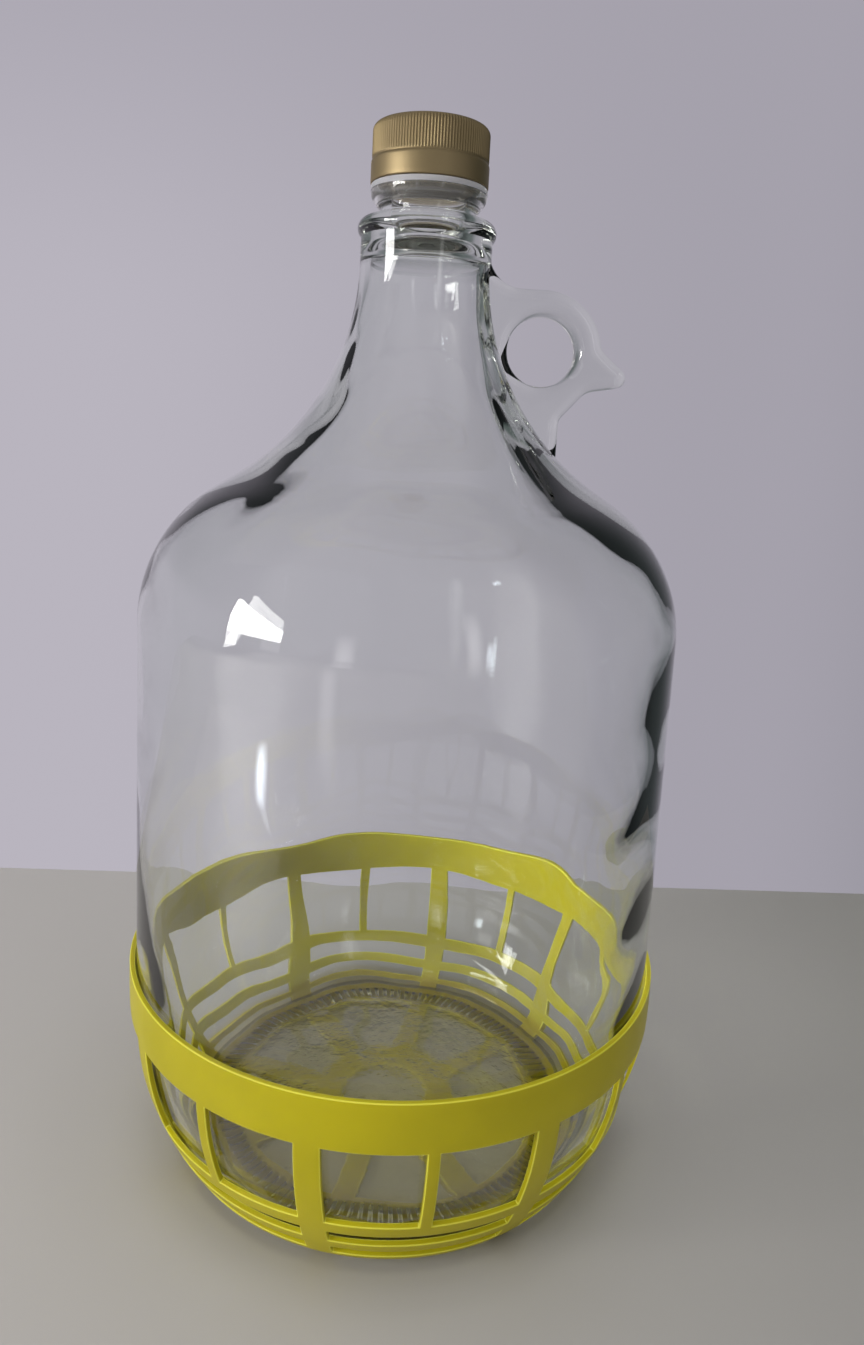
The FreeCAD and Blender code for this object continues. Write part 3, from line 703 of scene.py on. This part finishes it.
def wall_skin(height, offset):
    """The basket's outline at an offset from the glass: along its side, its heel or its corner."""
    turn = np.arcsin(np.clip((HEEL_Z - height) / (HEEL_R + SKIN), 0, 1))
    low_turn = np.arcsin(np.clip((CORNER_Z - height) / (CORNER_R + SKIN), 0, 1))
    on_heel = np.degrees(turn) < -CORNER_TURN
    heel_r, corner_r = HEEL_R + offset, CORNER_R + offset
    heel = (HEEL_AT[0] + heel_r * np.cos(turn), HEEL_Z - heel_r * np.sin(turn))
    corner = (CORNER_AT[0] + corner_r * np.cos(low_turn), CORNER_Z - corner_r * np.sin(low_turn))
    r = np.where(height >= HEEL_Z, GLASS_R + offset, np.where(on_heel, heel[0], corner[0]))
    z = np.where(height >= HEEL_Z, height, np.where(on_heel, heel[1], corner[1]))
    return np.stack([r, z], -1)


def basket_rows():
    """Outer points, inner points and kind of each row, from the band's top edge in to the hub's hole."""
    height = np.concatenate([rows for rows, _ in WALL_ROWS])
    radius = np.concatenate([rows for rows, _ in FLOOR_ROWS])
    kind = np.concatenate([np.full(len(rows), kind) for rows, kind in WALL_ROWS + FLOOR_ROWS])
    meets = CORNER_AT[0] + math.sqrt((CORNER_R + CLEARANCE) ** 2 - CORNER_R ** 2)
    under = np.stack([radius, 0 * radius], -1)
    over = np.stack([np.append(meets, radius[1:]), 0 * radius + SKIN], -1)
    return outline(wall_skin(height, SKIN), under), outline(wall_skin(height, CLEARANCE), over), kind


print("basket rows", len(basket_rows()[2]))

# %% [markdown]
# Posts keep their width where the basket narrows, so the columns can't lie at fixed angles: each
# row works out its own. Four cells go across a post and ten across a gap, and one pattern for each
# kind of row says which of them are solid. The solid cells give an outer and an inner skin, and
# wherever a solid cell has no neighbour, a strip of wall joins the two skins.

# %% 15 Net of the basket
POSTS, POST_TURN, POST_WIDE, POST_NARROW = 8, math.radians(-103.5), 8.2, 3.8
POST_STEPS, GAP_STEPS = 4, 10
NARROW_SHARE = 0.6


def net_angles(radius):
    """The angle of each column at each row. A post reaches the arcsine of half its width over the
    radius to each side, and a narrow one at most a share of the room beside it near the hub."""
    wide = np.arcsin(POST_WIDE / 2 / radius)[:, None]
    sector = math.pi / POSTS
    thin = np.minimum(np.arcsin(POST_NARROW / 2 / radius)[:, None], (sector - wide) * NARROW_SHARE)
    post, gap = np.arange(POST_STEPS) / POST_STEPS, np.arange(GAP_STEPS) / GAP_STEPS
    clear = sector - thin - wide
    sectors = np.hstack([
        2 * wide * post - wide,
        wide + clear * gap,
        sector + thin * (2 * post - 1),
        sector + thin + clear * gap])
    start = POST_TURN + 2 * math.pi * np.arange(POSTS) / POSTS
    return (sectors[:, None] + start[None, :, None]).reshape(len(radius), -1)


def basket_mesh():
    """Two skins over the solid cells, and a strip of wall along each edge where a cell has no neighbour."""
    outer, inner, kind = basket_rows()
    angle = net_angles(outer[:, 0])
    rows, columns = angle.shape
    part = np.arange(columns) % (columns // POSTS)
    wide = part < POST_STEPS
    thin = (part >= POST_STEPS + GAP_STEPS) & (part < 2 * POST_STEPS + GAP_STEPS)
    kept = np.stack([np.full(columns, True), wide | thin, wide])
    solid = kept[kind[:-1]]
    outer_skin = around(outer[:, :1], outer[:, 1:], angle)
    inner_skin = around(inner[:, :1], inner[:, 1:], angle)
    points = np.concatenate([outer_skin, inner_skin]).reshape(-1, 3)
    number = np.arange(rows * columns).reshape(rows, columns)
    a, b = number[:-1], number[1:]
    a_next, b_next = np.roll(a, -1, 1), np.roll(b, -1, 1)
    to_inner = rows * columns
    empty = np.zeros((1, columns), bool)
    edges = (
        (~np.concatenate([empty, solid[:-1]]), a, a_next),
        (~np.concatenate([solid[1:], empty]), b_next, b),
        (~np.roll(solid, 1, 1), b, a),
        (~np.roll(solid, -1, 1), a_next, b_next))
    faces = [np.stack([a, b, b_next, a_next], -1)[solid]]
    faces.append(np.stack([a, a_next, b_next, b], -1)[solid] + to_inner)
    for bare, first, second in edges:
        faces.append(np.stack([first, second, second + to_inner, first + to_inner], -1)[solid & bare])
    used, faces = np.unique(np.concatenate(faces), return_inverse=True)
    return mesh_from("basket_moulding", points[used], faces.reshape(-1, 4))


print("columns of the net", net_angles(np.array([GLASS_R])).shape[1])

# %% [markdown]
# The plastic is a clear, slightly cloudy yellow, with light inside it, so it has a little
# subsurface scattering. The moulding's edges are rounded and catch the light as pale lime lines. A
# bevel rounds them, and its faces get a second, paler and duller material: a painted highlight.

# %% 16 Basket finish
EDGE_ROUND = 0.00045
YELLOW, YELLOW_DEEP = (0.46, 0.398, 0.003), (0.41, 0.354, 0.003)
# Painted highlight: a paler lime for the rounded edges.
PAINTED_RIM_HIGHLIGHT, PAINTED_RIM_HIGHLIGHT_DEEP = (0.64, 0.60, 0.06), (0.58, 0.55, 0.05)


def yellow(name, colour, deep_colour, dullness):
    """The basket's plastic: clouds of a deeper colour, a fine grain, and light that spreads inside."""
    plastic = material(name)
    cloud = plastic.noise(28.0, 3.0)
    grain = plastic.noise(900.0)
    return plastic.finish(plastic.node("BsdfPrincipled", sockets={
        "Base Color": plastic.mix(plastic.step(cloud, 0.35, 0.7), colour, deep_colour),
        "Roughness": cloud * 0.25 + dullness,
        "Specular IOR Level": 0.35,
        "Normal": plastic.bump(grain, 0.00005, 0.5),
        "Subsurface Weight": 0.25,
        "Subsurface Scale": 0.004,
        "Subsurface Radius": (1.0, 0.8, 0.15)}))


# The bevel's faces get the second material, a painted highlight.
yellow_faces = [yellow("yellow_plastic", YELLOW, YELLOW_DEEP, 0.28),
                yellow("yellow_rim_painted_highlight", PAINTED_RIM_HIGHLIGHT, PAINTED_RIM_HIGHLIGHT_DEEP, 0.40)]
basket = piece("basket_moulding", basket_mesh(), "vessel", "basket", yellow_faces)
rounding = basket.modifiers.new("soft_edges", "BEVEL")
rounding.width, rounding.segments, rounding.material = EDGE_ROUND, 2, 1
rounding.limit_method, rounding.angle_limit = "ANGLE", math.radians(50)
basket.modifiers.new("even_shading", "WEIGHTED_NORMAL").keep_sharp = True

# %% [markdown]
# The screw cap is a thin pressed shell. Its lower band is plain, and above a small step come about
# 120 fine upright ribs that fade out over the rounded top edge. Ribs are real waves of the radius
# and not a bump, so that the rim of the cap is toothed when it is seen against the light.

# %% 17 Cap
CAP_R, CAP_WALL, CAP_TOP_ROUND = 19.0, 1.1, 2.2
CAP_EDGE_IN, CAP_EDGE_OUT, ON_AXIS = 0.3, 0.35, 0.001
RIBS, RIB_IN, RIB_DEEP = 120, 0.22, 0.30
STEP_Z = CAP_LOW + 7.3
# The step's hollow, measured from the cap's radius and the step's height, and its lower and upper ends.
STEP_SHAPE = np.array([(-0.05, -0.6), (-0.25, -0.25), (-0.5, 0.0), (-0.5, 0.2), (-0.3, 0.5)])
STEP_START, STEP_END = STEP_Z - 1.1, STEP_Z + 0.9


def cap_mesh():
    """The shell's outline turned, less RIB_DEEP * (1 - cos(RIBS * a)) / 2 where the wall is ribbed."""
    inside, top = CAP_R - CAP_WALL, CAP_HIGH - CAP_WALL
    ribbed_r, round_r = CAP_R - RIB_IN, CAP_R - RIB_IN - CAP_TOP_ROUND
    line = outline(
        (ON_AXIS, top),
        (inside - CAP_WALL, top),
        arc((inside - CAP_WALL, top - CAP_WALL), CAP_WALL, 90, 0, 0.5),
        (inside, CAP_LOW + CAP_EDGE_IN),
        arc((inside + CAP_EDGE_IN, CAP_LOW + CAP_EDGE_IN), CAP_EDGE_IN, 180, 270, 0.2),
        (CAP_R - CAP_EDGE_OUT, CAP_LOW),
        arc((CAP_R - CAP_EDGE_OUT, CAP_LOW + CAP_EDGE_OUT), CAP_EDGE_OUT, 270, 360, 0.2),
        run((CAP_R, CAP_LOW + CAP_EDGE_OUT), (CAP_R, STEP_START), 1.4),
        STEP_SHAPE + (CAP_R, STEP_Z),
        (ribbed_r, STEP_END),
        run((ribbed_r, STEP_END), (ribbed_r, CAP_HIGH - CAP_TOP_ROUND), 1.0),
        arc((round_r, CAP_HIGH - CAP_TOP_ROUND), CAP_TOP_ROUND, 0, 90, 0.35),
        run((round_r, CAP_HIGH), (ON_AXIS, CAP_HIGH), 2.5))
    columns = RIBS * 10
    angle = np.linspace(0, 2 * math.pi, columns, endpoint=False)
    r, z = line[1:-1, :1], line[1:-1, 1:]
    from_step = smoothstep(STEP_Z + 0.3, STEP_Z + 1.0, z)
    to_top = 1 - smoothstep(CAP_HIGH - 1.5, CAP_HIGH - 0.35, z)
    outside = r > CAP_R - 1.05
    ribs = RIB_DEEP * (from_step * to_top * outside) * (1 - np.cos(RIBS * angle)) / 2
    points = around(r - ribs, z, angle).reshape(-1, 3)
    index = np.arange(len(points)).reshape(-1, columns)
    poles = np.array([[0, 0, top], [0, 0, CAP_HIGH]]) * MM
    caps = fan(len(points), index[0]), fan(len(points) + 1, index[-1])[:, ::-1]
    return mesh_from("cap_shell", np.concatenate([points, poles]), quads(index), *caps)


print("cap from %.1f to %.1f mm, step at %.1f" % (CAP_LOW, CAP_HIGH, STEP_Z))

# %% [markdown]
# The gold is a lacquered aluminium: a metal, but a dull one, with a brown tone where the lacquer
# is thin. A little noise in roughness and colour keeps the band from looking like a mirror.

# %% 18 Gold finish
GOLD, GOLD_BROWN = (0.275, 0.210, 0.112), (0.23, 0.175, 0.086)

gold = material("satin_gold")
worn = gold.step(gold.noise(30.0), 0.35, 0.7)
gold_shell = gold.finish(gold.node("BsdfPrincipled", sockets={
    "Base Color": gold.mix(worn, GOLD, GOLD_BROWN),
    "Metallic": 0.8,
    "Roughness": worn * 0.08 + 0.48,
    "Normal": gold.bump(gold.noise(220.0, 3.0), 0.00003, 0.6)}))
cap = piece("cap_shell", cap_mesh(), "closure", "cap", [gold_shell])
shade(cap.data, 50)

# %% [markdown]
# Below the cap shows the skirt of a milky plastic collar. It grips the locking ring of the glass,
# flares out under the cap and runs up inside it as a thin sleeve. Its section is drawn once and
# turned. The plastic is clear enough to see the glass through, and its flared rim is frosted
# white. Its inside has the same brown painted shade under the cap as the bore.

# %% 19 Collar
COLLAR_LOW, FLANGE_Z = LOCK_Z - 2.6, CAP_LOW - 0.2
SLEEVE_R, SLEEVE_WALL, SKIRT_WALL = FINISH_R + 0.15, 1.55, 0.9
ROOM_R, FLARE_R, FLARE_BULGE = FINISH_R + 1.15, CAP_R - 0.2, 0.55
MILK, MILK_WHITE, MILK_SHADOW = (0.93, 0.92, 0.92), (0.80, 0.79, 0.84), (0.85, 0.85, 0.85)


def collar_mesh():
    """The skirt bulges outwards by a sine, then come the sleeve and the room for the locking ring."""
    share = np.linspace(0, 1, 9)[1:]
    low = np.array([SLEEVE_R + SKIRT_WALL, COLLAR_LOW + 0.02])
    high = np.array([FLARE_R, FLANGE_Z - 1.9])
    bulge = FLARE_BULGE * np.sin(math.pi * share)
    skirt = low + (high - low) * share[:, None] + np.stack([bulge, -0.5 * bulge], -1)
    sleeve_out = SLEEVE_R + SLEEVE_WALL
    return lathe("collar_skirt", outline(
        (SLEEVE_R, COLLAR_LOW + 0.3),
        (SLEEVE_R + 0.25, COLLAR_LOW),
        low,
        skirt,
        (FLARE_R, FLANGE_Z - 0.3),
        (FLARE_R - 0.15, FLANGE_Z - 0.05),
        (FLARE_R - 0.4, FLANGE_Z),
        (sleeve_out + 0.1, FLANGE_Z),
        (sleeve_out, FLANGE_Z + 0.2),
        run((sleeve_out, FLANGE_Z + 0.2), (sleeve_out, LIP_Z - 1.1), 3.0),
        (sleeve_out - 0.3, LIP_Z - 0.8),
        (SLEEVE_R + 0.25, LIP_Z - 0.8),
        (SLEEVE_R, LIP_Z - 1.1),
        (SLEEVE_R, FLANGE_Z - 0.65),
        (ROOM_R, FLANGE_Z - 1.65),
        (ROOM_R, LOCK_Z - 0.15),
        (SLEEVE_R, LOCK_Z - 1.15)), 128)


milky = material("milky_plastic")
haze = milky.noise(60.0)
x, y, z = milky.parts(milky.place())
square = x * x + y * y
at_rim = milky.step(square, (17.9 * MM) ** 2, (18.3 * MM) ** 2)
frosted = at_rim * milky.step(z, (FLANGE_Z - 2.0) * MM, (FLANGE_Z - 1.6) * MM)
# Painted shade: the collar's inside above the locking ring gets the same brown as the bore.
within = milky.step(square, (17.1 * MM) ** 2, (16.8 * MM) ** 2)
painted_cap_shade_inside = within * milky.step(z, (LOCK_Z + 0.4) * MM, (LOCK_Z + 1.0) * MM)
milk = milky.node("BsdfPrincipled", sockets={
    "Base Color": milky.mix(painted_cap_shade_inside, MILK, PAINTED_CAP_SHADE),
    "Roughness": haze * 0.06 + frosted * 0.5 + 0.03,
    "IOR": 1.45,
    "Transmission Weight": 0.95,
    "Normal": milky.bump(haze, 0.00008, 0.4)})
milk_white = milky.node("BsdfPrincipled", sockets={"Base Color": MILK_WHITE, "Roughness": 0.45})
milk_both = milky.node("MixShader", sockets={0: frosted * 0.40, 1: milk, 2: milk_white})
milk_light = milky.node("BsdfTransparent", sockets={"Color": MILK_SHADOW})
for_lamps = milky.node("LightPath", output="Is Shadow Ray")
milky_plastic = milky.finish(milky.node("MixShader", sockets={0: for_lamps, 1: milk_both, 2: milk_light}))
collar = piece("collar_skirt", collar_mesh(), "vessel", "collar", [milky_plastic])
shade(collar.data, 35)

# %% [markdown]
# The sealing disc inside the cap is a plain flat disc, and its solid already has the right shape.
# So it stays, and only gets a foam's white, fine-grained finish.

# %% 20 Sealing disc
FOAM_WHITE, FOAM_GREY = (0.82, 0.82, 0.80), (0.72, 0.72, 0.70)

foam = material("liner_foam")
cells = foam.noise(1500.0)
foam_white = foam.finish(foam.node("BsdfPrincipled", sockets={
    "Base Color": foam.mix(cells, FOAM_WHITE, FOAM_GREY),
    "Roughness": 0.6,
    "Normal": foam.bump(cells, 0.00004, 0.5)}))
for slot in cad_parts["liner"].material_slots:
    slot.material = foam_white
print("liner finished, slots", len(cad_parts["liner"].material_slots))

# %% [markdown]
# The bottle stands on a pale floor that ends a little way behind it and at its right, before a
# pale backdrop. Its colour turns greyer to the right, a painted shade away from the key light. The
# backdrop is the colour of the world in that direction, so that nothing stands in the way when the
# bottle is looked at from behind.

# %% 21 Floor
FLOOR_LEFT, FLOOR_RIGHT, FLOOR_FRONT, EDGE_LEFT, EDGE_RIGHT = -3.0, 0.36, -3.0, 0.110, 0.1905
FLOOR_PALE, FLOOR_PAINTED_SHADE = (0.49, 0.465, 0.445), (0.27, 0.262, 0.24)

corners = [(FLOOR_LEFT, FLOOR_FRONT, 0), (FLOOR_RIGHT, FLOOR_FRONT, 0),
           (FLOOR_RIGHT, EDGE_RIGHT, 0), (FLOOR_LEFT, EDGE_LEFT, 0)]
pale = material("pale_floor")
# Painted shade: the floor's colour turns grey towards the right.
painted_shade_to_right = pale.step(pale.parts(pale.place())[0], -0.12, 0.34)
floor_mesh = bpy.data.meshes.new("floor")
floor_mesh.from_pydata(corners, [], [(0, 1, 2, 3)])
floor_mesh.materials.append(pale.finish(pale.node("BsdfPrincipled", sockets={
    "Base Color": pale.mix(painted_shade_to_right, FLOOR_PALE, FLOOR_PAINTED_SHADE), "Roughness": 0.45})))
floor = bpy.data.objects.new("floor", floor_mesh)
scene.collection.objects.link(floor)
print("floor ends %.0f to %.0f mm behind the bottle's axis" % (EDGE_LEFT / MM, EDGE_RIGHT / MM))

# %% [markdown]
# Clear glass has no colour of its own to show: it shows the room, bent. A photographer puts dark
# boards beside a bottle to draw its edges. So the world has a tone for each direction: the pale
# backdrop ahead and to the left, a grey board and then a dark one to the right, some grey overhead
# and at the upper left, and a plain grey room behind the camera. Azimuth 0 is straight ahead and
# grows to the right, and rise is the height over the horizon, both in degrees.

# %% 22 Room
BACKDROP, BACKDROP_SHADE, ROOM_TONE = (0.485, 0.460, 0.520), (0.375, 0.356, 0.410), (0.37, 0.37, 0.38)
GREY_BOARD, DARK_BOARD = (0.120, 0.140, 0.143), (0.036, 0.046, 0.046)

room = Shader(bpy.data.worlds.new("room"))
scene.world = room.owner
to_right, to_back, to_top = room.parts(room.node("TexCoord", output="Generated"))
azimuth = room.node("Math", {"operation": "ARCTAN2"}, {0: to_right, 1: to_back}) * math.degrees(1)
rise = room.node("Math", {"operation": "ARCSINE"}, {0: to_top}) * math.degrees(1)
to_the_side = room.node("Math", {"operation": "ABSOLUTE"}, {0: azimuth})
tone = room.mix(room.step(azimuth, -20, 18), BACKDROP, BACKDROP_SHADE)
for share, colour in (
        (room.step(rise, 4, 26) * 0.75, BACKDROP_SHADE),
        (room.step(rise, 26, 44) * 0.65, GREY_BOARD),
        (room.step(azimuth, -27, -38) * room.step(rise, 6, 18) * 0.6, GREY_BOARD),
        (room.step(azimuth, 20, 50), GREY_BOARD),
        (room.step(azimuth, 50, 78), DARK_BOARD),
        (room.step(to_the_side, 90, 110), ROOM_TONE),
        (room.step(rise, 55, 70), ROOM_TONE)):
    tone = room.mix(share, tone, colour)
room.finish(room.node("Background", sockets={"Color": tone, "Strength": 1.0}), "OutputWorld")
print("tone of the backdrop", BACKDROP, "to", BACKDROP_SHADE)

# %% [markdown]
# Soft light comes from area lamps that face the bottle. Glass shows a plain rectangle as a patch
# with hard edges, so a second helper makes lamps that fade out to all sides: an area lamp can have
# nodes that read where on the lamp a point lies, and they set its strength there.

# %% 23 Lamps
AIM = Vector((0, 0, 0.18))


def lamp(name, turn, tilt, distance, width, height, power, colour=(1.0, 1.0, 1.0)):
    """A rectangle that faces the bottle. The turn is counted from the front towards the right, in
    degrees, lengths are in metres and the power is in watts."""
    data = bpy.data.lights.new(name, "AREA")
    data.shape, data.size, data.size_y = "RECTANGLE", width, height
    data.energy, data.color = power, colour
    made = bpy.data.objects.new(name, data)
    scene.collection.objects.link(made)
    a, e = math.radians(turn), math.radians(tilt)
    away = Vector((math.sin(a) * math.cos(e), -math.cos(a) * math.cos(e), math.sin(e)))
    made.location = AIM + away * distance
    made.rotation_mode = "QUATERNION"
    made.rotation_quaternion = away.to_track_quat("Z", "Y")
    return made


def strip(*numbers):
    """A lamp that fades out to its rim: strength 16 s (1 - s) t (1 - t) at shares s and t of its sides."""
    made = lamp(*numbers)
    glow = Shader(made.data)
    across, up, _ = glow.parts(glow.node("NewGeometry", output="Parametric"))
    strength = across * (1 - across) * up * (1 - up) * 16.0
    glow.finish(glow.node("Emission", sockets={"Strength": strength}), "OutputLight")
    return made


# %% [markdown]
# The key light is a square one at the front left. Its reflection on the glass is the brightest
# thing in the picture, so its outline matters: the top edge slants, dimmer patches hang below it at
# both sides, and a faint line lies along the bottom. Its nodes cut this shape out of the rectangle.

# %% 24 Key light
key = lamp("key", -61, 5.5, 1.5, 0.66, 0.83, 34.0, (1.0, 0.99, 0.97))
panel = Shader(key.data)
across, up, _ = panel.parts(panel.node("NewGeometry", output="Parametric"))
slanted_top = panel.step(up + across * 0.36, 1.05, 1.02)
main = panel.step(up, 0.46, 0.49)
low_left = panel.step(across, 0.24, 0.20) * panel.step(up, 0.26, 0.28) * 0.5
low_right = panel.step(across, 0.64, 0.70) * panel.step(up, 0.26, 0.34) * 0.06
low_line = panel.step(up, 0.07, 0.04) * 0.12
shape = panel.node("Clamp", sockets={0: main + low_left + low_right + low_line})
panel.finish(panel.node("Emission", sockets={"Strength": slanted_top * shape}), "OutputLight")
print("key light of", key.data.energy, "watts")

# %% [markdown]
# The strips are narrow lamps that draw soft gleams on the glass. Two large lamps only fill the
# shadows, so glass and reflections don't show them. Light is reflected five times at most: with
# more bounces inside the wall, the thick edges of the glass would turn out too pale.

# %% 25 Strips and fill
low_strip = strip("low_strip", -50, -19.5, 0.42, 0.030, 0.042, 0.045, (0.85, 0.93, 1.0))
strip("right_strip", 26, 12, 2.2, 0.30, 1.7, 2.8)
strip("left_strip", -24, -4, 2.2, 0.36, 1.5, 3.2)
left_low_strip = strip("left_low_strip", -27, -12, 0.42, 0.050, 0.120, 0.020)
for near in (low_strip, left_low_strip):
    near.visible_camera = False
top = lamp("top", 20, 78, 1.6, 1.6, 1.6, 14.0)
low_fill = lamp("low_fill", -12, -5, 1.2, 1.4, 0.10, 1.6)
for soft in (top, low_fill):
    soft.visible_glossy = False
    soft.visible_transmission = False

scene.cycles.max_bounces = 20
scene.cycles.transmission_bounces = 18
scene.cycles.glossy_bounces = 5
scene.cycles.transparent_max_bounces = 16
